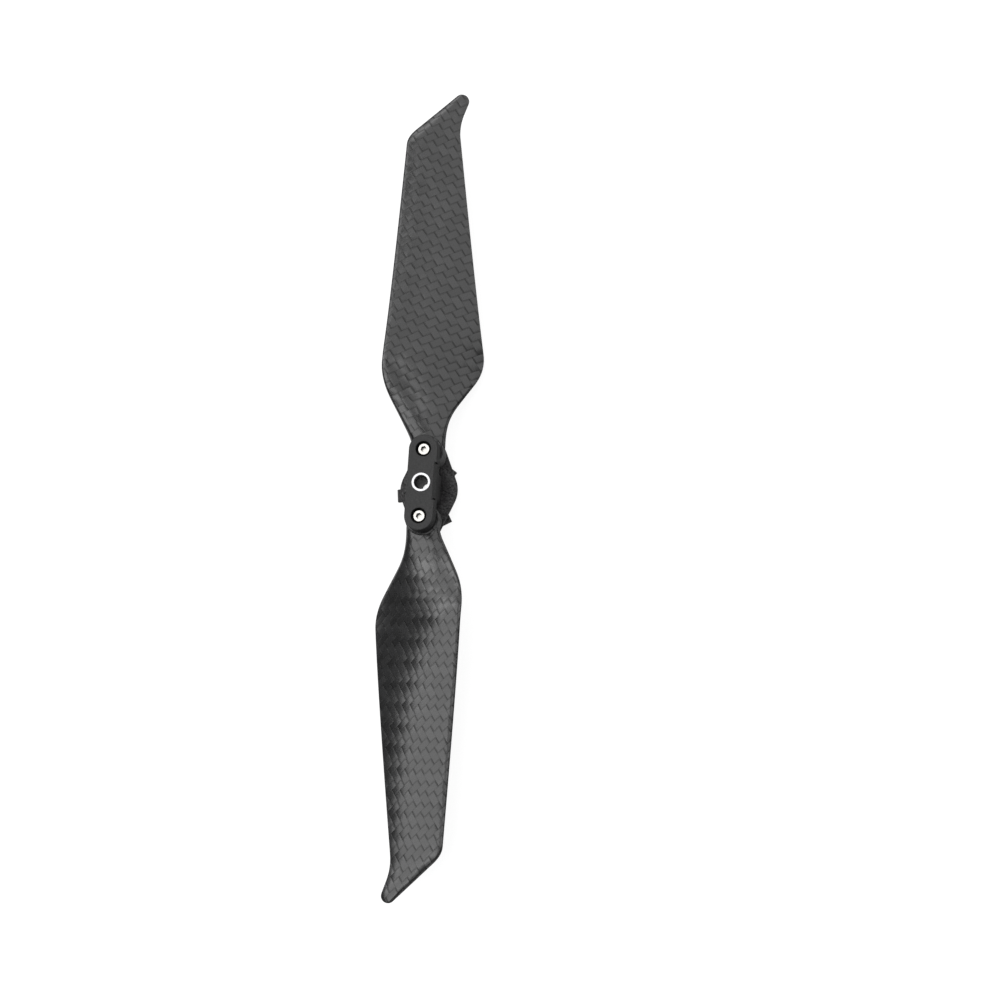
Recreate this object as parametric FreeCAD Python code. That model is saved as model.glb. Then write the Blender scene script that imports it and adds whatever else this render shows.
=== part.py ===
import FreeCAD, Part
import math
import os

# Folding two-blade propeller of a camera drone, in millimetres.
# Origin: on the rotor axis, at the bottom of the bayonet claws. +Z runs up the rotor axis.
# Blade A lies along +Y and blade B along -Y. The propeller turns from +X towards +Y, so
# blade A leads with its -X edge.

# ---- Driving dimensions ----
TIP_RADIUS = 110.5
PITCH = 109.2
PIVOT_Y = 9.05
RUNNING_GAP = 0.04

# Heights of the stack, from the claws up.
CLAW_FOOT_TOP = 1.6
RIM_BOTTOM = 4.4
RIM_TOP = 5.3
PAD_TOP = 6.1
WASHER_THICKNESS = 0.3
ROOT_THICKNESS = 5.52
ROOT_BOTTOM = PAD_TOP + WASHER_THICKNESS + RUNNING_GAP
ROOT_TOP = ROOT_BOTTOM + ROOT_THICKNESS
BLADE_Z = ROOT_BOTTOM + ROOT_THICKNESS / 2
COVER_BOTTOM = ROOT_TOP + RUNNING_GAP + WASHER_THICKNESS
COVER_THICKNESS = 3.6
COVER_TOP = COVER_BOTTOM + COVER_THICKNESS

# Blade planform: corners as (radius, x, half length of the rounding), for a blade along +Y.
LEADING_EDGE = [(9.05, -4.2, 0), (12.6, -4.8, 2.0), (27.9, -13.25, 5.0), (97.5, -11.7, 2.2)]
LEADING_EDGE += [(109.8, 0.75, 0)]
TRAILING_EDGE = [(9.05, 4.3, 0), (18.9, 4.55, 4.0), (33.8, 12.85, 4.5), (101.3, 2.04, 3.5)]
TRAILING_EDGE += [(109.6, 4.7, 0)]
BLADE_DEPTH = [(9.05, 4.6, 0), (13.0, 4.4, 2.5), (25.0, 2.5, 5.0), (96.0, 1.2, 8.0), (110.5, 0.8, 0)]
TWIST_START = 9.0
TWIST_FULL = 38.0
CAMBER = 0.045
EDGE_HALF_THICKNESS = 0.14
SECTION_START = 9.6
SECTION_STEP = 3.0
CORNER_STEP = 1.0
CORNER_REACH = 5.0
LAST_SECTION_GAP = 0.03
CHORD_DIVISIONS = 11

# Blade root eye and what turns in it.
ROOT_RADIUS = 4.5
ROOT_CHAMFER = 0.3
BUSH_RADIUS = 1.6
SHANK_RADIUS = 1.0

# Pivot screw, M2 with a socket head, and its brass insert.
HEAD_RADIUS = 1.65
HEAD_HEIGHT = 1.7
HEAD_BOTTOM = 13.6
HEAD_CHAMFER = 0.2
SOCKET_ACROSS_FLATS = 1.5
SOCKET_DEPTH = 1.25
SOCKET_TURN = 15.0
THREAD_PITCH = 0.4
THREAD_ROOT_RADIUS = 0.8
THREAD_TOP = 5.9
SCREW_TIP = 2.9
INSERT_BORE = 1.03
INSERT_BOTTOM = 2.5
INSERT_TOP = 5.6
GROOVE_BOTTOMS = (3.3, 4.3)
GROOVE_WIDTH = 0.4
GROOVE_DEPTH = 0.2
BOSS_RADIUS = 2.6
BOSS_BOTTOM = 2.4
CLEARANCE_HOLE = 1.1
WASHER_RADIUS = 2.9

# Cover.
COVER_HALF_WIDTH = 3.95
COVER_EDGE_ROUND = 0.3
COUNTERBORE_RADIUS = 2.12
COVER_HOLE = 1.8
STEP_HOLE = 1.66
STEP_Z = 13.85
RING_HOLE = 1.93
RING_RADIUS = 2.5
RING_DEPTH = 0.4
RING_PROUD = 0.03
BEVEL_HALF_LENGTH = 5.1
BEVEL_CENTRE_Y = 0.4
BEVEL_WIDTH = 0.75
BEVEL_DROP = 1.0
NOTCH_INSET = 0.25
NOTCH_LENGTH = 0.5
NOTCH_DROP = 1.6

# Base.
FLANGE_RADIUS = 7.8
LOBE_RADIUS = 4.3
PAD_RADIUS = 3.4
CROWN_FOOT_RADIUS = 7.2
CROWN_RADIUS = 4.2
SHAFT_RADIUS = 1.65
BLOCK_HALF_WIDTH = 3.5
BLOCK_HALF_LENGTH = 4.2
BLOCK_CORNER = 1.3
CAVITY_RADIUS = 2.7
CAVITY_TOP = 5.3
SOCKET_RADIUS = 5.2
PEG_RADIUS = 0.5
PEG_X = 2.65
PEG_HEIGHT = 0.9
PEG_CLEARANCE = 0.05
CLAWS = [(186.5, 9.4), (54, 8.6), (-61.5, 9.4)]
CLAW_WIDTH = 3.3
CLAW_START = 4.6
CLAW_OVERLAP = 0.3
CLAW_LEG_RADIUS = 7.4
CLAW_CHAMFER = 0.45
MARK_STROKES = [((3.9, -0.1), (6.8, -1.25)), ((5.0, 0.1), (5.9, 0.75)), ((5.9, 0.75), (6.8, 1.4))]
MARK_WIDTH = 0.26
MARK_DEPTH = 0.25

# How far a cutting shape reaches past the face that it opens.
REACH = 1.0

UP = FreeCAD.Vector(0, 0, 1)


def cylinder(radius, bottom, top, x=0.0, y=0.0):
    return Part.makeCylinder(radius, top - bottom, FreeCAD.Vector(x, y, bottom), UP)


def tube(inner, outer, bottom, top, x=0.0, y=0.0):
    return cylinder(outer, bottom, top, x, y).cut(cylinder(inner, bottom, top, x, y))


def block(low, high):
    size = [h - l for l, h in zip(low, high)]
    return Part.makeBox(size[0], size[1], size[2], FreeCAD.Vector(*low))


def turned(shape, degrees):
    copy = shape.copy()
    copy.rotate(FreeCAD.Vector(0, 0, 0), UP, degrees)
    return copy


def clean(shape):
    """The shape with split faces joined again, as a single solid."""
    tidy = shape.removeSplitter()
    return tidy.Solids[0] if len(tidy.Solids) == 1 else tidy


# ---- Blade ----

def soft_run(corners, r):
    """Value at radius r of a run of straight lines whose corners are rounded by parabolas."""
    for before, corner, after in zip(corners, corners[1:], corners[2:]):
        run = r - corner[0]
        blend = corner[2]
        if abs(run) < blend:
            slope_in = (corner[1] - before[1]) / (corner[0] - before[0])
            slope_out = (after[1] - corner[1]) / (after[0] - corner[0])
            return corner[1] + slope_in * run + (slope_out - slope_in) * (run + blend) ** 2 / (4 * blend)
    for start, end in zip(corners, corners[1:]):
        if r <= end[0] or end is corners[-1]:
            return start[1] + (end[1] - start[1]) * (r - start[0]) / (end[0] - start[0])


def last_slope(corners):
    return (corners[-1][1] - corners[-2][1]) / (corners[-1][0] - corners[-2][0])


def tip_circle():
    """Centre radius, centre x and radius of the round that touches both edges and ends the blade."""
    lead_slope = last_slope(LEADING_EDGE)
    trail_slope = last_slope(TRAILING_EDGE)
    lead_factor = math.hypot(1, lead_slope)
    trail_factor = math.hypot(1, trail_slope)
    width_at_tip = soft_run(TRAILING_EDGE, TIP_RADIUS) - soft_run(LEADING_EDGE, TIP_RADIUS)
    radius = width_at_tip / (lead_factor + trail_factor - (lead_slope - trail_slope))
    centre_r = TIP_RADIUS - radius
    centre_x = soft_run(LEADING_EDGE, centre_r) + radius * lead_factor
    lead_touch = centre_r + radius * lead_slope / lead_factor
    trail_touch = centre_r - radius * trail_slope / trail_factor
    return centre_r, centre_x, radius, lead_touch, trail_touch


def blade_edges(r):
    """x of the leading and of the trailing edge at radius r."""
    centre_r, centre_x, radius, lead_touch, trail_touch = tip_circle()
    half = math.sqrt(max(radius ** 2 - (r - centre_r) ** 2, 0))
    lead = centre_x - half if r > lead_touch else soft_run(LEADING_EDGE, r)
    trail = centre_x + half if r > trail_touch else soft_run(TRAILING_EDGE, r)
    return lead, trail


def root_to_blade(r):
    """0 at the flat root, 1 where the full blade begins, with no kink at either end."""
    t = min(max((r - TWIST_START) / (TWIST_FULL - TWIST_START), 0), 1)
    return t * t * (3 - 2 * t)


def blade_twist(r):
    """Blade angle at radius r: constant pitch, faded out towards the flat root."""
    return math.atan(PITCH / (2 * math.pi * r)) * root_to_blade(r)


def half_depth(c, share):
    """Half thickness at chord share c, as a share of the full one: an oval root fading to an airfoil."""
    oval = (1 - abs(2 * c - 1) ** 2.5) ** 0.4
    foil = 5 * (0.2969 * math.sqrt(c) - 0.126 * c - 0.3516 * c ** 2 + 0.2843 * c ** 3 - 0.1015 * c ** 4)
    return (oval * (1 - share) + 2 * foil * share) / 2


def blade_section(r):
    """Closed wire of the blade's section at radius r, in the plane y = r."""
    lead, trail = blade_edges(r)
    chord = trail - lead
    slope = math.tan(blade_twist(r))
    share = root_to_blade(r)
    depth = min(soft_run(BLADE_DEPTH, r), 0.45 * chord)
    edge = min(EDGE_HALF_THICKNESS, 0.3 * depth)
    upper = []
    lower = []
    for k in range(CHORD_DIVISIONS + 1):
        c = (1 - math.cos(math.pi * k / CHORD_DIVISIONS)) / 2
        x = lead + chord * c
        middle = BLADE_Z - x * slope + 4 * CAMBER * share * chord * c * (1 - c)
        half = depth * half_depth(c, share) + edge * c
        upper.append(FreeCAD.Vector(x, r, middle + half))
        lower.append(FreeCAD.Vector(x, r, middle - half))
    around = Part.BSplineCurve()
    around.interpolate(upper[::-1] + lower[1:])
    close = Part.LineSegment(lower[-1], upper[-1])
    return Part.Wire([around.toShape(), close.toShape()])


def blade_stations():
    """Radii of the sections: closer together where an edge turns a corner and at the round tip."""
    corners = [point[0] for point in LEADING_EDGE[2:-1] + TRAILING_EDGE[2:-1]]
    stations = [SECTION_START]
    while stations[-1] < TIP_RADIUS - 4:
        near_corner = min(abs(stations[-1] - r) for r in corners) < CORNER_REACH
        stations.append(stations[-1] + (CORNER_STEP if near_corner else SECTION_STEP))
    first = stations[-1]
    for angle in range(15, 76, 12):
        stations.append(first + (TIP_RADIUS - first) * math.sin(math.radians(angle)))
    stations.append(TIP_RADIUS - LAST_SECTION_GAP)
    return stations


def root_eye():
    eye = cylinder(ROOT_RADIUS, ROOT_BOTTOM, ROOT_TOP, 0, PIVOT_Y)
    rims = [e for e in eye.Edges if abs(e.Length - 2 * math.pi * ROOT_RADIUS) < 0.01]
    return eye.makeChamfer(ROOT_CHAMFER, rims)


def blade(angle):
    loft = Part.makeLoft([blade_section(r) for r in blade_stations()], True, False)
    whole = loft.fuse(root_eye())
    whole = whole.cut(cylinder(BUSH_RADIUS, ROOT_BOTTOM - REACH, ROOT_TOP + REACH, 0, PIVOT_Y))
    return turned(clean(whole), angle)


def root_bush(y):
    return tube(SHANK_RADIUS + RUNNING_GAP, BUSH_RADIUS, ROOT_BOTTOM, ROOT_TOP, 0, y)


# ---- Fasteners ----

def screw_profile():
    """Half outline of the screw from the top of its head to its tip, as (radius, z)."""
    head_top = HEAD_BOTTOM + HEAD_HEIGHT
    profile = [(0, head_top), (HEAD_RADIUS - HEAD_CHAMFER, head_top), (HEAD_RADIUS, head_top - HEAD_CHAMFER)]
    profile += [(HEAD_RADIUS, HEAD_BOTTOM), (SHANK_RADIUS, HEAD_BOTTOM), (SHANK_RADIUS, THREAD_TOP)]
    z = THREAD_TOP
    while z - THREAD_PITCH > SCREW_TIP:
        profile += [(THREAD_ROOT_RADIUS, z - THREAD_PITCH / 2), (SHANK_RADIUS, z - THREAD_PITCH)]
        z -= THREAD_PITCH
    return profile + [(THREAD_ROOT_RADIUS, SCREW_TIP), (0, SCREW_TIP)]


def pivot_screw(y):
    """M2 socket screw: chamfered head, plain shank in the bush, ring grooves for the thread."""
    points = [FreeCAD.Vector(r, 0, z) for r, z in screw_profile()]
    face = Part.Face(Part.makePolygon(points + points[:1]))
    screw = face.revolve(FreeCAD.Vector(0, 0, 0), UP, 360)
    corner = SOCKET_ACROSS_FLATS / math.sqrt(3)
    angles = [math.radians(60 * k + SOCKET_TURN) for k in range(7)]
    open_z = HEAD_BOTTOM + HEAD_HEIGHT + REACH
    hexagon = [FreeCAD.Vector(corner * math.cos(a), corner * math.sin(a), open_z) for a in angles]
    socket = Part.Face(Part.makePolygon(hexagon)).extrude(FreeCAD.Vector(0, 0, -SOCKET_DEPTH - REACH))
    screw = screw.cut(socket)
    screw.translate(FreeCAD.Vector(0, y, 0))
    return screw


def thread_insert(y):
    """Brass insert with two grooves round it, which hold it in the moulding."""
    insert = tube(INSERT_BORE, BUSH_RADIUS, INSERT_BOTTOM, INSERT_TOP, 0, y)
    for bottom in GROOVE_BOTTOMS:
        groove = tube(BUSH_RADIUS - GROOVE_DEPTH, BUSH_RADIUS + REACH, bottom, bottom + GROOVE_WIDTH, 0, y)
        insert = insert.cut(groove)
    return insert


def thrust_washer(y, bottom):
    return tube(CLEARANCE_HOLE, WASHER_RADIUS, bottom, bottom + WASHER_THICKNESS, 0, y)


# ---- Cover ----

def obround(radius, bottom, top):
    """Straight-sided plate with round ends centred on both pivots."""
    middle = block((-radius, -PIVOT_Y, bottom), (radius, PIVOT_Y, top))
    ends = [cylinder(radius, bottom, top, 0, y) for y in (PIVOT_Y, -PIVOT_Y)]
    return middle.fuse(ends).removeSplitter()


def side_bevel():
    """Wedge that takes the top edge off the cover's +X side, with a deeper notch at each end."""
    low = COVER_TOP - BEVEL_DROP
    high = COVER_TOP + REACH
    inner = COVER_HALF_WIDTH - BEVEL_WIDTH
    outer = COVER_HALF_WIDTH + REACH
    points = [(inner, COVER_TOP), (COVER_HALF_WIDTH, low), (outer, low), (outer, high), (inner, high)]
    first = BEVEL_CENTRE_Y - BEVEL_HALF_LENGTH
    last = BEVEL_CENTRE_Y + BEVEL_HALF_LENGTH
    start = [FreeCAD.Vector(x, first, z) for x, z in points]
    wedge = Part.Face(Part.makePolygon(start + start[:1]))
    wedge = wedge.extrude(FreeCAD.Vector(0, 2 * BEVEL_HALF_LENGTH, 0))
    for end in (first, last - NOTCH_LENGTH):
        low_corner = (inner + NOTCH_INSET, end, COVER_TOP - NOTCH_DROP)
        wedge = wedge.fuse(block(low_corner, (outer, end + NOTCH_LENGTH, high)))
    return wedge


def hub_cover():
    body = obround(COVER_HALF_WIDTH, COVER_BOTTOM, COVER_TOP)
    top_edges = [e for e in body.Edges if e.BoundBox.ZMin > COVER_TOP - 0.01]
    body = body.makeFillet(COVER_EDGE_ROUND, top_edges)
    body = body.cut(side_bevel())
    body = body.cut(cylinder(STEP_HOLE, COVER_BOTTOM - REACH, COVER_TOP))
    body = body.cut(cylinder(COVER_HOLE, STEP_Z, COVER_TOP))
    body = body.cut(cylinder(RING_RADIUS, COVER_TOP - RING_DEPTH, COVER_TOP + REACH))
    for y in (PIVOT_Y, -PIVOT_Y):
        body = body.cut(cylinder(CLEARANCE_HOLE, COVER_BOTTOM - REACH, COVER_TOP, 0, y))
        body = body.cut(cylinder(COUNTERBORE_RADIUS, HEAD_BOTTOM, COVER_TOP + REACH, 0, y))
    hole_top = COVER_BOTTOM + PEG_HEIGHT + PEG_CLEARANCE
    for x in (PEG_X, -PEG_X):
        body = body.cut(cylinder(PEG_RADIUS + PEG_CLEARANCE, COVER_BOTTOM - REACH, hole_top, x, 0))
    return clean(body)


def marker_ring():
    return tube(RING_HOLE, RING_RADIUS, COVER_TOP - RING_DEPTH, COVER_TOP + RING_PROUD)


# ---- Base ----

def flange_outline():
    """Face hugging the centre disc and the two pivot lobes, with straight tangents between them."""
    lean = math.asin((FLANGE_RADIUS - LOBE_RADIUS) / PIVOT_Y)
    side = (math.cos(lean), math.sin(lean))

    def point(radius, y, sx, sy):
        return FreeCAD.Vector(sx * radius * side[0], y + sy * radius * side[1], RIM_BOTTOM)

    disc = {(sx, sy): point(FLANGE_RADIUS, 0, sx, sy) for sx in (1, -1) for sy in (1, -1)}
    lobe = {(sx, sy): point(LOBE_RADIUS, sy * PIVOT_Y, sx, sy) for sx in (1, -1) for sy in (1, -1)}
    edges = []
    for sx in (1, -1):
        edge_middle = FreeCAD.Vector(sx * FLANGE_RADIUS, 0, RIM_BOTTOM)
        edges.append(Part.Arc(disc[(sx, -1)], edge_middle, disc[(sx, 1)]).toShape())
    for sy in (1, -1):
        lobe_end = FreeCAD.Vector(0, sy * (PIVOT_Y + LOBE_RADIUS), RIM_BOTTOM)
        edges.append(Part.Arc(lobe[(1, sy)], lobe_end, lobe[(-1, sy)]).toShape())
    for key in disc:
        edges.append(Part.LineSegment(disc[key], lobe[key]).toShape())
    return Part.Face(Part.Wire(Part.__sortEdges__(edges)))


def crown():
    """Low cone between the flange's rim and the centre block."""
    foot = FreeCAD.Vector(0, 0, RIM_TOP)
    return Part.makeCone(CROWN_FOOT_RADIUS, CROWN_RADIUS, PAD_TOP - RIM_TOP, foot, UP)


def flange():
    plate = flange_outline().extrude(FreeCAD.Vector(0, 0, RIM_TOP - RIM_BOTTOM))
    parts = [crown()]
    for y in (PIVOT_Y, -PIVOT_Y):
        parts.append(cylinder(PAD_RADIUS, RIM_BOTTOM, PAD_TOP, 0, y))
        parts.append(cylinder(BOSS_RADIUS, BOSS_BOTTOM, RIM_TOP, 0, y))
    return plate.fuse(parts)


def centre_block():
    low = (-BLOCK_HALF_WIDTH, -BLOCK_HALF_LENGTH, RIM_TOP)
    body = block(low, (BLOCK_HALF_WIDTH, BLOCK_HALF_LENGTH, COVER_BOTTOM))
    upright = [e for e in body.Edges if e.BoundBox.ZLength > 1]
    body = body.makeFillet(BLOCK_CORNER, upright)
    peg_top = COVER_BOTTOM + PEG_HEIGHT
    pegs = [cylinder(PEG_RADIUS, COVER_BOTTOM - PEG_HEIGHT, peg_top, x, 0) for x in (PEG_X, -PEG_X)]
    return body.fuse(pegs)


def claw(angle, foot_radius):
    """One bayonet claw: a leg below the flange with a foot that reaches outwards."""
    half = CLAW_WIDTH / 2
    leg = block((CLAW_START, -half, 0), (CLAW_LEG_RADIUS, half, RIM_BOTTOM + CLAW_OVERLAP))
    foot = block((CLAW_START, -half, 0), (foot_radius, half, CLAW_FOOT_TOP))
    outer_top = [
        e for e in foot.Edges
        if e.BoundBox.XMin > foot_radius - 0.01 and e.BoundBox.ZMin > CLAW_FOOT_TOP - 0.01
    ]
    foot = foot.makeChamfer(CLAW_CHAMFER, outer_top)
    return turned(leg.fuse(foot), angle)


def mark_stroke(start, end):
    """Upright thin slab along one stroke of the turning mark, from below the flange's top upwards."""
    start = FreeCAD.Vector(start[0], start[1], RIM_TOP - MARK_DEPTH)
    end = FreeCAD.Vector(end[0], end[1], RIM_TOP - MARK_DEPTH)
    side = (end - start).normalize().cross(UP) * (MARK_WIDTH / 2)
    outline = [start + side, end + side, end - side, start - side]
    return Part.Face(Part.makePolygon(outline + outline[:1])).extrude(FreeCAD.Vector(0, 0, PAD_TOP))


def turning_marks():
    """Grooves of even depth in the crown: a plain open wedge on the flange's +X side and on its -X side."""
    strokes = [mark_stroke(start, end) for start, end in MARK_STROKES]
    floor = crown()
    floor.translate(FreeCAD.Vector(0, 0, -MARK_DEPTH))
    grooves = [stroke.cut(floor) for stroke in strokes]
    return grooves + [turned(groove, 180) for groove in grooves]


def hub_base():
    body = flange().fuse([centre_block()] + [claw(*values) for values in CLAWS])
    body = body.cut(cylinder(SOCKET_RADIUS, -REACH, RIM_BOTTOM))
    body = body.cut(cylinder(CAVITY_RADIUS, RIM_BOTTOM - REACH, CAVITY_TOP))
    body = body.cut(cylinder(SHAFT_RADIUS, CAVITY_TOP - REACH, COVER_BOTTOM + REACH))
    body = body.cut(turning_marks())
    for y in (PIVOT_Y, -PIVOT_Y):
        body = body.cut(cylinder(CLEARANCE_HOLE, BOSS_BOTTOM, PAD_TOP + REACH, 0, y))
        body = body.cut(cylinder(BUSH_RADIUS, BOSS_BOTTOM - REACH, INSERT_TOP, 0, y))
    return clean(body)


def build():
    nodes = {
        "hub_base": hub_base(),
        "hub_cover": hub_cover(),
        "marker_ring": marker_ring(),
    }
    for letter, side, angle in (("a", 1, 0), ("b", -1, 180)):
        y = side * PIVOT_Y
        nodes["blade_" + letter] = blade(angle)
        nodes["root_bush_" + letter] = root_bush(y)
        nodes["pivot_screw_" + letter] = pivot_screw(y)
        nodes["thread_insert_" + letter] = thread_insert(y)
        nodes["washer_lower_" + letter] = thrust_washer(y, PAD_TOP)
        nodes["washer_upper_" + letter] = thrust_washer(y, COVER_BOTTOM - WASHER_THICKNESS)
    return nodes


os.makedirs("parts", exist_ok=True)
for name, shape in build().items():
    shape.exportStep("parts/" + name + ".step")
    state = "valid" if shape.isValid() else "INVALID"
    print(name, state, "solids", len(shape.Solids), "mm3", round(shape.Volume, 2))
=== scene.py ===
import math

import bpy
from mathutils import Matrix, Vector


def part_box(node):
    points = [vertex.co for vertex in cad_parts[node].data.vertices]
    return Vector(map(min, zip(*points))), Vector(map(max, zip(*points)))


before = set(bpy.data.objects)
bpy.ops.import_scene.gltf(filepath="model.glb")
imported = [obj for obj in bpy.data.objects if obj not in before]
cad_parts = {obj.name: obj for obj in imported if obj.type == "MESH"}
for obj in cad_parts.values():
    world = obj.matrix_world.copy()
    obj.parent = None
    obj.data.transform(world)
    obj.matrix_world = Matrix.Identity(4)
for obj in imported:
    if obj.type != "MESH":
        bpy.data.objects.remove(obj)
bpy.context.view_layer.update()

# Looks of a folding carbon propeller on a light table. Lengths inside the materials are in
# millimetres, and all others are in metres.

MM = 0.001
LETTERS = ("a", "b")
screw_low, screw_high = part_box("pivot_screw_a")
PIVOT_Y = (screw_low[1] + screw_high[1]) / 2 / MM

WHITE = (1, 1, 1, 1)
OPEN_GLOSS = (1, 1, 1, 1)
WALL_ROUGHNESS = 0.85
WALL_NORMAL = (0.6, 0.3)
BEVEL_SAMPLES = 6


# ---- Node helpers ----

class Nodes:
    """A material's node tree with short calls for what the materials below repeat."""

    def __init__(self, name):
        self.material = bpy.data.materials.new(name)
        self.material.use_nodes = True
        self.tree = self.material.node_tree
        self.shader = self.tree.nodes["Principled BSDF"]

    def add(self, kind, **settings):
        node = self.tree.nodes.new(kind)
        for key, value in settings.items():
            setattr(node, key, value)
        return node

    def put(self, value, socket):
        """Links value when it is a socket, and sets it when it is a number or a colour."""
        if isinstance(value, bpy.types.NodeSocket):
            self.tree.links.new(value, socket)
        else:
            socket.default_value = value

    def add_linked(self, kind, value, **settings):
        node = self.add(kind, **settings)
        self.put(value, node.inputs[0])
        return node

    def math(self, operation, first, second=0.0, third=0.0):
        node = self.add("ShaderNodeMath", operation=operation)
        for value, socket in zip((first, second, third), node.inputs):
            self.put(value, socket)
        return node.outputs[0]

    def mix(self, share, first, second):
        """Colour between first, at share 0, and second, at share 1."""
        node = self.add("ShaderNodeMix", data_type="RGBA")
        self.put(share, node.inputs[0])
        self.put(first, node.inputs[6])
        self.put(second, node.inputs[7])
        return node.outputs[2]

    def blend(self, share, first, second):
        """Number between first, at share 0, and second, at share 1."""
        node = self.add("ShaderNodeMix", data_type="FLOAT")
        self.put(share, node.inputs[0])
        self.put(first, node.inputs[2])
        self.put(second, node.inputs[3])
        return node.outputs[0]

    def spread(self, value, low, high, to_low=0.0, to_high=1.0):
        """value from low..high to to_low..to_high, with soft ends."""
        node = self.add("ShaderNodeMapRange", interpolation_type="SMOOTHSTEP")
        for number, socket in zip((value, low, high, to_low, to_high), node.inputs):
            self.put(number, socket)
        return node.outputs[0]

    def place(self):
        """x, y and z on the object, in millimetres, which stay with it when its body moves."""
        scaled = self.add("ShaderNodeVectorMath", operation="SCALE")
        self.put(self.add("ShaderNodeTexCoord").outputs["Object"], scaled.inputs[0])
        scaled.inputs["Scale"].default_value = 1 / MM
        return scaled.outputs[0]

    def split(self, vector):
        return self.add_linked("ShaderNodeSeparateXYZ", vector).outputs

    def join(self, *values):
        node = self.add("ShaderNodeCombineXYZ")
        for value, socket in zip(values, node.inputs):
            self.put(value, socket)
        return node.outputs[0]

    def noise(self, vector, scale, detail=3.0, roughness=0.5):
        node = self.add("ShaderNodeTexNoise")
        self.put(vector, node.inputs["Vector"])
        node.inputs["Scale"].default_value = scale
        node.inputs["Detail"].default_value = detail
        node.inputs["Roughness"].default_value = roughness
        return node.outputs["Fac"]

    def stretch(self, vector, scale):
        node = self.add("ShaderNodeVectorMath", operation="MULTIPLY")
        self.put(vector, node.inputs[0])
        node.inputs[1].default_value = scale
        return node.outputs[0]

    def upright(self):
        """1 on walls that stand upright, and 0 on faces turned well up or down."""
        normal = self.split(self.add("ShaderNodeTexCoord").outputs["Normal"])
        return self.spread(self.math("ABSOLUTE", normal[2]), *WALL_NORMAL)

    def soft_edge(self, radius):
        """Normal that rounds sharp edges off by radius millimetres."""
        node = self.add("ShaderNodeBevel", samples=BEVEL_SAMPLES)
        node.inputs["Radius"].default_value = radius * MM
        return node.outputs[0]

    def bump(self, height, distance, normal=None):
        """Relief whose height, in millimetres, is height times distance."""
        node = self.add("ShaderNodeBump")
        node.inputs["Strength"].default_value = 1.0
        node.inputs["Distance"].default_value = distance * MM
        self.put(height, node.inputs["Height"])
        if normal is not None:
            self.put(normal, node.inputs["Normal"])
        return node.outputs["Normal"]

    def finish(self, color, roughness, normal, metallic=0.0, **constants):
        self.put(color, self.shader.inputs["Base Color"])
        self.put(roughness, self.shader.inputs["Roughness"])
        if normal is not None:
            self.put(normal, self.shader.inputs["Normal"])
        self.shader.inputs["Metallic"].default_value = metallic
        for name, value in constants.items():
            self.shader.inputs[name.replace("_", " ")].default_value = value
        return self.material


# ---- Carbon twill ----

DARK_TOW = (0.002, 0.002, 0.0021, 1)
BRIGHT_TOW = (0.014, 0.014, 0.0145, 1)
# Painted shadow where the floats dip: its colour, and the share of the gloss it leaves.
FLOAT_SHADOW_COLOR = (0.0005, 0.0005, 0.0005, 1)
FLOAT_SHADOW_GLOSS = (0.6, 0.6, 0.6, 1)

# Relief of a tow's round shoulders, of its ride over and under the others, and of its filaments.
CROWN_RELIEF = 0.014
FLOAT_RELIEF = 0.06
FILAMENT_RELIEF = 0.004
CROSSING_BLEND = 0.006
SHOULDER_POWER = 4.0

# How far the cloth strays, in tow widths, beyond CLOTH_RADIUS and at ROOT_RADIUS.
CLOTH_WANDER = 0.4
ROOT_WANDER = 2.0
WANDER_SCALE = 0.13
CLOTH_RADIUS = 34.0
ROOT_RADIUS = 14.0

# Filaments to a tow's width, and how often they change along one.
FILAMENTS_ACROSS = 12.0
FILAMENTS_ALONG = 0.5

# Shares of a float's tone that come from its own shade, its filaments and being weft. The weft's share
# is a painted sheen, which lightens the weft where it lies on top.
SHADE_SHARE = 0.55
FILAMENT_SHARE = 0.45
WEFT_SHEEN_SHARE = 0.18

# Painted shadow: a float's ends darken as its lift falls through END_LIFT, and its sides beyond
# SIDE_START.
END_LIFT = (0.5, 0.08)
WARP_END_SHADOW = 1.0
WEFT_END_SHADOW = 0.55
SIDE_START = 0.8
SIDE_SHADOW = 0.3

CARBON_ROUGHNESS = 0.15
BLOTCH_ROUGHNESS = 0.12
GAP_ROUGHNESS = 0.1
BLOTCH_SCALE = 0.3

# Each blade's weft and warp, as the direction in which the tows are counted, in degrees, and
# one tow's width, and the seed of the cloth's wander.
TWILLS = {
    "a": ((35.8, 1.95), (119.2, 1.84), 3.0),
    "b": ((34.3, 1.94), (135.3, 1.66), 11.0),
}


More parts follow.
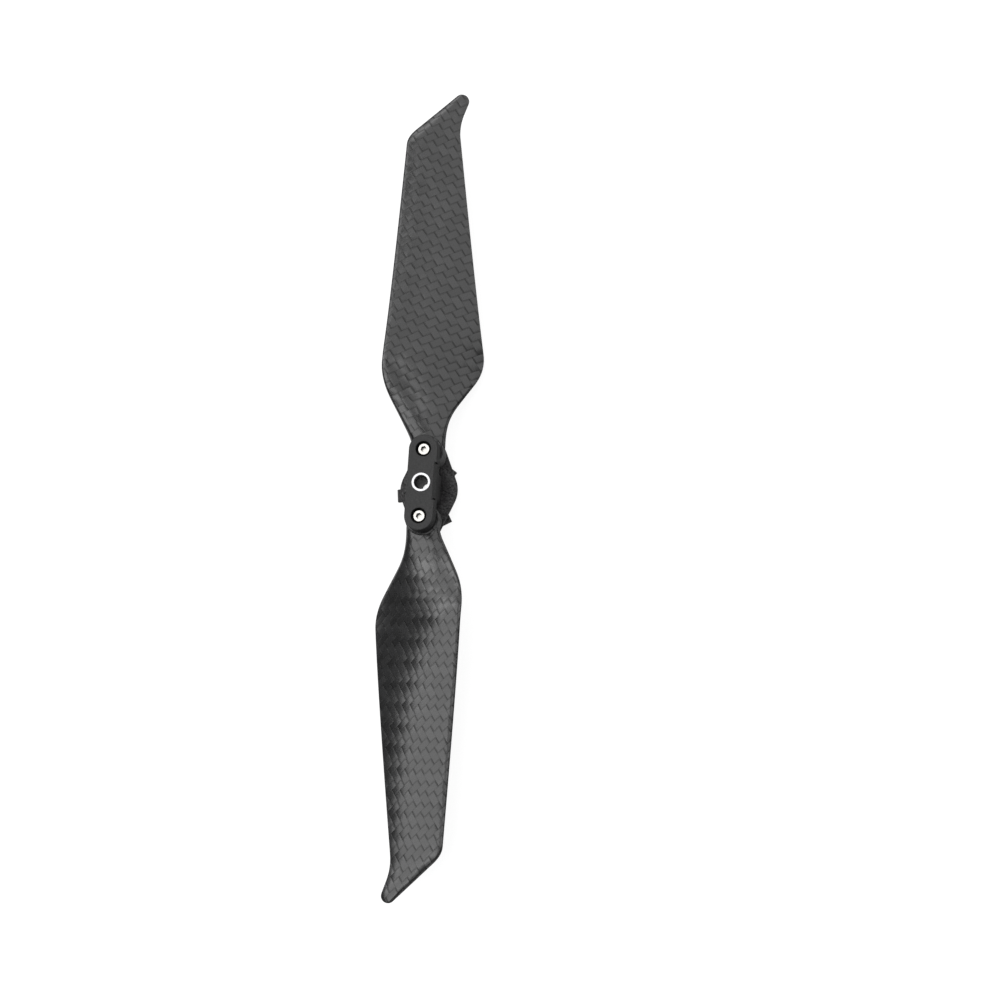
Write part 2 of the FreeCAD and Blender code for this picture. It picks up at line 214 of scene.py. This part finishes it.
class Twill:
    """2x2 twill of flat tows. u counts the weft's tows across the cloth and v the warp's."""

    def __init__(self, n, place, weft, warp, seed):
        self.n = n
        x, y = n.split(place)[:2]
        drift = self.drift(place, seed)
        at_root = n.spread(n.math("ABSOLUTE", y), CLOTH_RADIUS, ROOT_RADIUS)
        wander = n.blend(at_root, CLOTH_WANDER, ROOT_WANDER)
        self.u = self.counted(x, y, weft, drift[0], wander)
        self.v = self.counted(x, y, warp, drift[1], wander)
        self.u_tow = n.math("FLOOR", self.u)
        self.v_tow = n.math("FLOOR", self.v)
        self.u_lift = self.lift(self.v, self.u_tow)
        self.v_lift = n.math("MULTIPLY", self.lift(self.u, self.v_tow), -1.0)
        u_set = self.height(self.u, self.u_lift)
        v_set = self.height(self.v, self.v_lift)
        self.relief = n.math("SMOOTH_MAX", u_set, v_set, CROSSING_BLEND)
        self.u_on_top = n.math("GREATER_THAN", u_set, v_set)

    def drift(self, place, seed):
        """Slow random number for each count, from 0 to 1, by which the cloth strays."""
        slow = self.n.add("ShaderNodeTexNoise", noise_dimensions="4D")
        self.n.put(place, slow.inputs["Vector"])
        slow.inputs["W"].default_value = seed
        slow.inputs["Scale"].default_value = WANDER_SCALE
        slow.inputs["Detail"].default_value = 2.0
        return self.n.split(slow.outputs["Color"])

    def counted(self, x, y, tows, sway, wander):
        """Number of tows from the origin to the point, with the cloth's wander."""
        n = self.n
        angle, width = tows
        across = n.math("MULTIPLY", x, math.cos(math.radians(angle)) / width)
        along = n.math("MULTIPLY_ADD", y, math.sin(math.radians(angle)) / width, across)
        return n.math("MULTIPLY_ADD", n.math("SUBTRACT", sway, 0.5), wander, along)

    def side(self, count):
        """Where the point lies across its tow: -1 and 1 at the edges."""
        return self.n.math("MULTIPLY_ADD", self.n.math("FRACT", count), 2.0, -1.0)

    def lift(self, run, tow):
        """A tow rides over two tows and then under two, one step later on the next tow."""
        return self.n.math("COSINE", self.n.math("MULTIPLY", self.n.math("ADD", run, tow), math.pi / 2))

    def height(self, count, lift):
        """Height of a flat tow: even over most of its width, with round shoulders."""
        n = self.n
        shoulder = n.math("POWER", n.math("ABSOLUTE", self.side(count)), SHOULDER_POWER)
        crown = n.math("SUBTRACT", 1.0, shoulder)
        return n.math("MULTIPLY_ADD", crown, CROWN_RELIEF, n.math("MULTIPLY", lift, FLOAT_RELIEF))

    def on_top(self, of_weft, of_warp):
        """of_weft where the weft is on top, and of_warp elsewhere."""
        return self.n.blend(self.u_on_top, of_warp, of_weft)

    def filament(self):
        """Fine streaks along whichever tow is on top."""
        n = self.n
        across = [n.math("MULTIPLY", count, FILAMENTS_ACROSS) for count in (self.u, self.v)]
        along = [n.math("MULTIPLY", count, FILAMENTS_ALONG) for count in (self.v, self.u)]
        return n.noise(n.join(self.on_top(*across), self.on_top(*along)), 1.0, 2.0)

    def shade(self):
        """Random number that is the same all over one float."""
        n = self.n
        step = self.on_top(n.math("ADD", self.v, self.u_tow), n.math("ADD", self.u, self.v_tow))
        step = n.math("FLOOR", n.math("MULTIPLY", n.math("ADD", step, 1.0), 0.25))
        float_id = n.join(self.on_top(self.u_tow, self.v_tow), step, self.u_on_top)
        return n.add_linked("ShaderNodeTexWhiteNoise", float_id, noise_dimensions="3D").outputs["Value"]

    def shadow(self):
        """Mask of painted shadow: 1 where a float dips at its two ends, and less along its sides."""
        n = self.n
        end = n.spread(self.on_top(self.u_lift, self.v_lift), *END_LIFT)
        end = n.math("MULTIPLY", end, self.on_top(WEFT_END_SHADOW, WARP_END_SHADOW))
        edge = n.math("ABSOLUTE", self.on_top(self.side(self.u), self.side(self.v)))
        return n.math("MAXIMUM", end, n.spread(edge, SIDE_START, 1.0, 0.0, SIDE_SHADOW))


def carbon_twill(name, weft, warp, seed):
    """Twill under satin resin."""
    n = Nodes(name)
    place = n.place()
    twill = Twill(n, place, weft, warp, seed)
    filament = twill.filament()
    shadow = twill.shadow()

    fleck = n.math("MULTIPLY", filament, FILAMENT_SHARE)
    fleck = n.math("MULTIPLY_ADD", twill.shade(), SHADE_SHARE, fleck)
    # Painted sheen: the weft on top is lighter than the warp.
    fleck = n.math("MULTIPLY_ADD", twill.u_on_top, WEFT_SHEEN_SHARE, fleck)
    # Painted shadow: the shadow mask darkens the float ends and sides.
    color = n.mix(shadow, n.mix(fleck, DARK_TOW, BRIGHT_TOW), FLOAT_SHADOW_COLOR)

    # The milled walls round the root are dull where the top is glossy.
    blotch = n.noise(place, BLOTCH_SCALE, 3.0)
    roughness = n.math("MULTIPLY_ADD", blotch, BLOTCH_ROUGHNESS, CARBON_ROUGHNESS)
    roughness = n.math("MULTIPLY_ADD", shadow, GAP_ROUGHNESS, roughness)
    roughness = n.blend(n.upright(), roughness, WALL_ROUGHNESS)

    normal = n.bump(twill.relief, 1.0)
    normal = n.bump(filament, FILAMENT_RELIEF, normal)
    # Painted shadow in the reflection too: the gloss is dimmed at the float ends and sides.
    n.put(n.mix(shadow, OPEN_GLOSS, FLOAT_SHADOW_GLOSS), n.shader.inputs["Specular Tint"])
    return n.finish(color, roughness, normal, Specular_IOR_Level=0.5)


# ---- Moulded plastic ----

NYLON_BLACK = (0.003, 0.003, 0.0031, 1)
# Painted shade: the share of gloss left on upright walls and on the base beside the cover.
SHADED_GLOSS = (0.33, 0.33, 0.33, 1)
NYLON_ROUGHNESS = 0.4
PATCH_ROUGHNESS = 0.2
PATCH_SCALE = 0.5
GRAIN_STEP = (0.35, 0.65)
NYLON_EDGE = 0.12

# The shaft polishes the bore out to this radius.
BORE_REACH = 1.9
BORE_ROUGHNESS = 0.55

# The cover shades the base below these heights and within these radii. There the base is rougher and
# its gloss is darkened as painted shade.
COVER_SHADE_HEIGHT = (8.0, 6.5)
COVER_SHADE_RADIUS = (6.6, 4.8)


def cover_shade(n, radius, z):
    """Mask of the cover's painted shade: 1 low on the base and close beside the cover."""
    return n.math("MULTIPLY", n.spread(z, *COVER_SHADE_HEIGHT), n.spread(radius, *COVER_SHADE_RADIUS))


def moulded_nylon(name, brightest, grains, relief, speck):
    """Glass-filled nylon with a spark-eroded texture of that many grains to the millimetre. It is
    relief millimetres deep, and its pits keep only the share speck of the gloss."""
    n = Nodes(name)
    place = n.place()
    grain = n.spread(n.noise(place, grains, 3.0, 0.6), *GRAIN_STEP)
    patch = n.noise(place, PATCH_SCALE, 3.0)
    shade = n.math("MULTIPLY_ADD", grain, 0.5, n.math("MULTIPLY", patch, 0.5))
    color = n.mix(shade, NYLON_BLACK, brightest)

    # Upright walls and places in the cover's shade are dull, and their gloss is darkened there as
    # painted shade.
    x, y, z = n.split(place)
    radius = n.math("SQRT", n.math("MULTIPLY_ADD", x, x, n.math("MULTIPLY", y, y)))
    dull_and_shaded = n.math("MAXIMUM", cover_shade(n, radius, z), n.upright())
    roughness = n.math("MULTIPLY_ADD", patch, PATCH_ROUGHNESS, NYLON_ROUGHNESS)
    roughness = n.blend(dull_and_shaded, roughness, WALL_ROUGHNESS)
    roughness = n.blend(n.math("LESS_THAN", radius, BORE_REACH), roughness, BORE_ROUGHNESS)

    normal = n.bump(grain, relief, n.soft_edge(NYLON_EDGE))
    gloss = n.mix(grain, (speck, speck, speck, 1), OPEN_GLOSS)
    # Painted shade: upright walls and the base beside the cover reflect less.
    n.put(n.mix(dull_and_shaded, gloss, SHADED_GLOSS), n.shader.inputs["Specular Tint"])
    return n.finish(color, roughness, normal, Specular_IOR_Level=0.32)


# ---- Metals ----

# Painted shade on the walls of the screws' sockets.
SOCKET_SHADE = (0.03, 0.03, 0.03, 1)
SCRATCH_STRETCH = (1, 1, 9)
SCRATCH_SCALE = 3.0
SCRATCH_ROUGHNESS = 0.14
SCRATCH_RELIEF = 0.006
METAL_PATCH_SCALE = 0.9
METAL_EDGE = 0.05


def socket_wall(n, place, socket_radius):
    """Mask of the sockets' painted shade: 1 on upright walls within socket_radius of either pivot's
    axis.
    """
    x, y = n.split(place)[:2]
    from_pivot = n.math("SUBTRACT", n.math("ABSOLUTE", y), PIVOT_Y)
    square = n.math("MULTIPLY_ADD", x, x, n.math("MULTIPLY", from_pivot, from_pivot))
    inside = n.math("LESS_THAN", square, socket_radius * socket_radius)
    return n.math("MULTIPLY", inside, n.upright())


def turned_metal(name, dark, bright, roughness, socket_radius=0.0):
    """Metal with fine marks. A screw's socket, within socket_radius of its axis, has walls painted dark
    as shade.
    """
    n = Nodes(name)
    place = n.place()
    scratch = n.noise(n.stretch(place, SCRATCH_STRETCH), SCRATCH_SCALE, 4.0)
    color = n.mix(n.noise(place, METAL_PATCH_SCALE, 2.0), dark, bright)
    rough = n.math("MULTIPLY_ADD", scratch, SCRATCH_ROUGHNESS, roughness)
    if socket_radius:
        wall = socket_wall(n, place, socket_radius)
        # Painted shade: the socket walls are dark.
        color = n.mix(wall, color, SOCKET_SHADE)
        rough = n.blend(wall, rough, WALL_ROUGHNESS)
    normal = n.bump(scratch, SCRATCH_RELIEF, n.soft_edge(METAL_EDGE))
    return n.finish(color, rough, normal, metallic=1.0)


# ---- Materials on the nodes ----

def paint(node, material):
    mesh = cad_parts[node].data
    mesh.materials.clear()
    mesh.materials.append(material)


def paint_hub():
    base = moulded_nylon(
        "moulded_nylon_base", brightest=(0.03, 0.029, 0.03, 1), grains=2.2, relief=0.05, speck=0.4)
    cover = moulded_nylon(
        "moulded_nylon_cover", brightest=(0.012, 0.012, 0.0124, 1), grains=5.5, relief=0.02, speck=0.75)
    silver = turned_metal(
        "marker_silver", dark=(0.36, 0.36, 0.37, 1), bright=(0.46, 0.46, 0.47, 1), roughness=0.3)
    paint("hub_base", base)
    paint("hub_cover", cover)
    paint("marker_ring", silver)


def paint_pivots():
    """The blades and all that turns or clamps at their roots."""
    steel = turned_metal(
        "screw_steel", dark=(0.3, 0.29, 0.27, 1), bright=(0.48, 0.47, 0.45, 1), roughness=0.2,
        socket_radius=0.95)
    washer_steel = turned_metal(
        "washer_steel", dark=(0.45, 0.45, 0.45, 1), bright=(0.62, 0.62, 0.62, 1), roughness=0.25)
    brass = turned_metal(
        "brass", dark=(0.55, 0.38, 0.14, 1), bright=(0.76, 0.56, 0.25, 1), roughness=0.22)
    for letter in LETTERS:
        paint("blade_" + letter, carbon_twill("carbon_twill_" + letter, *TWILLS[letter]))
        paint("root_bush_" + letter, brass)
        paint("thread_insert_" + letter, brass)
        paint("pivot_screw_" + letter, steel)
        paint("washer_lower_" + letter, washer_steel)
        paint("washer_upper_" + letter, washer_steel)


# ---- Floor, light and camera ----

FLOOR_HALF_SIZE = 4.0
FLOOR_WHITES = ((0.14, 0.14, 0.14, 1), (0.15, 0.15, 0.15, 1))
FLOOR_MOTTLE_SCALE = 0.01
FLOOR_ROUGHNESS = 0.7
FLOOR_GLOW = 0.88
WORLD_STRENGTH = 0.15

# Light panels: the direction from the hub, the size in metres and the radiance.
BOX_DISTANCE = 1.6
SOFT_BOXES = {
    "left_box": ((-0.459, -0.048, 0.887), (1.4, 1.6), 3.05),
    "back_box": ((-0.474, 0.629, 0.616), (2.2, 0.86), 2.5),
    "front_box": ((-0.430, -0.478, 0.766), (0.9, 0.65), 1.7),
    "top_box": ((0.171, -0.171, 0.970), (1.5, 0.72), 1.6),
    "low_box": ((0.524, -0.748, 0.407), (2.2, 0.8), 1.2),
    "right_box": ((0.42, 0.62, 0.8), (2.8, 1.7), 1.8),
}

# The camera looks along -CAMERA_BACK with CAMERA_RIGHT to its right. Lens and sensor in mm.
CAMERA_PLACE = Vector((0.14834, -0.13872, 0.69609))
CAMERA_BACK = Vector((0.17980, -0.19081, 0.96502))
CAMERA_RIGHT = Vector((0.98324, 0.06497, -0.17035))
CAMERA_LENS = 96.4
CAMERA_SENSOR = 36.0
CAMERA_CLIP_START = 0.01


def link(thing):
    bpy.context.scene.collection.objects.link(thing)


def floor():
    """White light table: it glows evenly, so that nothing on it throws a hard shadow."""
    size = FLOOR_HALF_SIZE
    mesh = bpy.data.meshes.new("floor")
    corners = [(-size, -size, 0), (size, -size, 0), (size, size, 0), (-size, size, 0)]
    mesh.from_pydata(corners, [], [(0, 1, 2, 3)])
    plane = bpy.data.objects.new("floor", mesh)
    link(plane)
    n = Nodes("floor")
    white = n.mix(n.noise(n.place(), FLOOR_MOTTLE_SCALE, 2.0), *FLOOR_WHITES)
    glow = {"Emission_Color": WHITE, "Emission_Strength": FLOOR_GLOW}
    mesh.materials.append(n.finish(white, FLOOR_ROUGHNESS, None, Specular_IOR_Level=0.0, **glow))


def soft_box(name, direction, size, radiance):
    """Rectangular light panel of that radiance, which faces the hub from a direction."""
    data = bpy.data.lights.new(name, "AREA")
    data.shape = "RECTANGLE"
    data.size = size[0]
    data.size_y = size[1]
    data.energy = radiance * math.pi * size[0] * size[1]
    lamp = bpy.data.objects.new(name, data)
    link(lamp)
    way = Vector(direction).normalized()
    turn = way.to_track_quat("Z", "Y").to_matrix().to_4x4()
    lamp.matrix_world = Matrix.Translation(way * BOX_DISTANCE) @ turn


def studio():
    world = bpy.data.worlds.new("studio")
    world.use_nodes = True
    background = world.node_tree.nodes["Background"]
    background.inputs[0].default_value = WHITE
    background.inputs[1].default_value = WORLD_STRENGTH
    bpy.context.scene.world = world
    for name, values in SOFT_BOXES.items():
        soft_box(name, *values)


def camera():
    """View from above the hub, tipped by some degrees to the right and to the front."""
    data = bpy.data.cameras.new("camera")
    data.sensor_width = CAMERA_SENSOR
    data.lens = CAMERA_LENS
    data.clip_start = CAMERA_CLIP_START
    up = CAMERA_BACK.cross(CAMERA_RIGHT)
    turn = Matrix((CAMERA_RIGHT, up, CAMERA_BACK)).transposed().to_4x4()
    holder = bpy.data.objects.new("camera", data)
    holder.matrix_world = Matrix.Translation(CAMERA_PLACE) @ turn
    link(holder)
    bpy.context.scene.camera = holder


paint_hub()
paint_pivots()
floor()
studio()
camera()
bpy.context.scene.view_settings.view_transform = "Standard"
